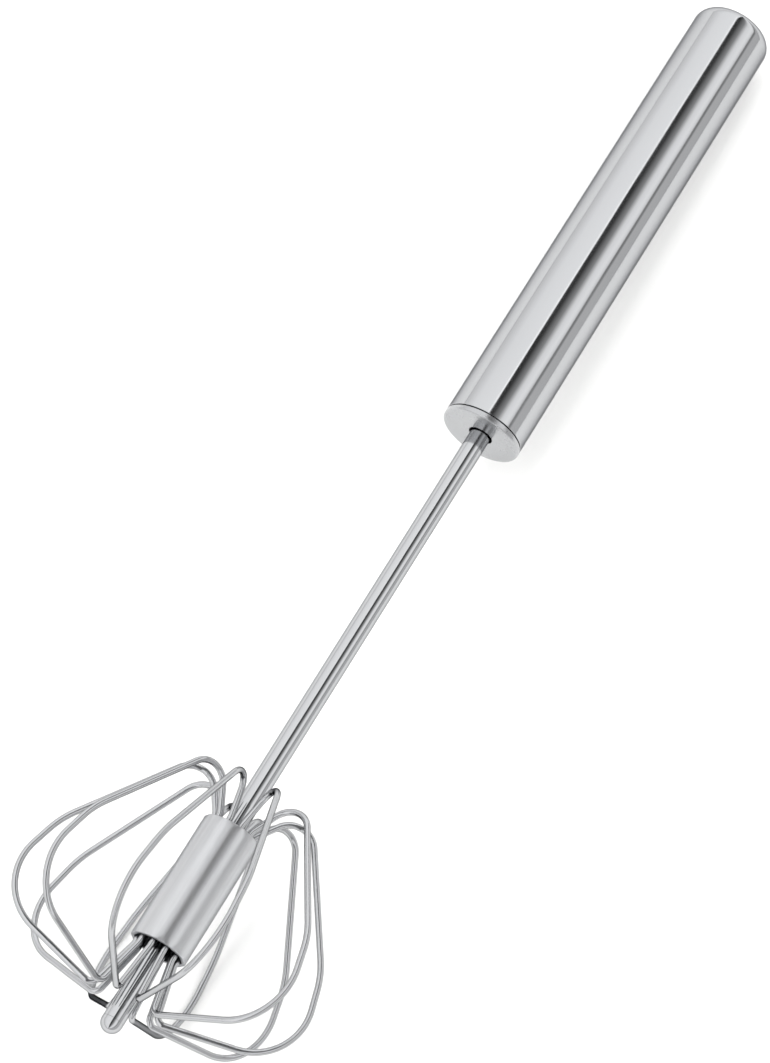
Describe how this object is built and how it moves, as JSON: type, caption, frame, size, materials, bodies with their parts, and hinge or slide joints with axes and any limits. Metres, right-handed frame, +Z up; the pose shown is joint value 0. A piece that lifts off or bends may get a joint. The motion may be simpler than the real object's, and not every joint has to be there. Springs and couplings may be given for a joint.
{
  "type": "push-down egg beater",
  "caption": "Push-down egg beater: a round tubular handle slides on a thin shaft and spins a short round hub with a cage of petal-shaped wire loops.",
  "frame": {"origin": "centre of the bounding box, at the level of the table that the egg beater lies on", "axes": "+Z up from the table, +X from the foot and the wire loops towards the handle, whose far end droops onto the table"},
  "size_m": [0.2992, 0.0744, 0.0708],
  "materials": {
    "polished_steel": "mirror-polished stainless steel tube",
    "wire_steel": "bright drawn stainless steel wire",
    "satin_steel": "satin stainless steel, turned and fine brushed",
    "spring_steel": "plain spring steel",
    "black_nylon": "moulded nylon, matt",
    "white_acetal": "moulded acetal, satin",
    "rubber": "matt"
  },
  "bodies": {
    "handle": {"handle_tube": "polished_steel", "end_cap": "polished_steel", "shaft_bush": "black_nylon", "buffer_washer": "rubber", "strip_anchor": "white_acetal", "anchor_pin": "spring_steel", "drive_strip": "spring_steel", "return_spring": "spring_steel"},
    "spring_carriage": {"spring_seat": "black_nylon"},
    "beater": {"drive_nut": "white_acetal", "shaft_tube": "polished_steel", "foot_plug": "polished_steel", "hub_sleeve": "satin_steel", "hub_core": "satin_steel", "wire_loop_1": "wire_steel", "wire_loop_2": "wire_steel", "wire_loop_3": "wire_steel", "wire_loop_4": "wire_steel", "wire_loop_5": "wire_steel", "wire_loop_6": "wire_steel", "wire_loop_7": "wire_steel", "wire_loop_8": "wire_steel", "wire_loop_9": "wire_steel", "wire_loop_10": "wire_steel"}
  },
  "joints": [
    {"name": "press", "type": "slide", "parent": "handle", "child": "spring_carriage", "axis": [0.9956, 0, -0.0936], "range_m": [0, 0.065], "stiffness_N_per_m": 90, "springref_m": -0.04, "deforming": ["return_spring"]},
    {"name": "spin", "type": "hinge", "parent": "spring_carriage", "child": "beater", "pos_m": [-0.11181, 0, 0.03415], "axis": [0.9956, 0, -0.0936], "range_deg": [0, 585]}
  ],
  "couplings": [
    {"joint": "spin", "follows": "press", "rad_per_m": 157.08}
  ]
}
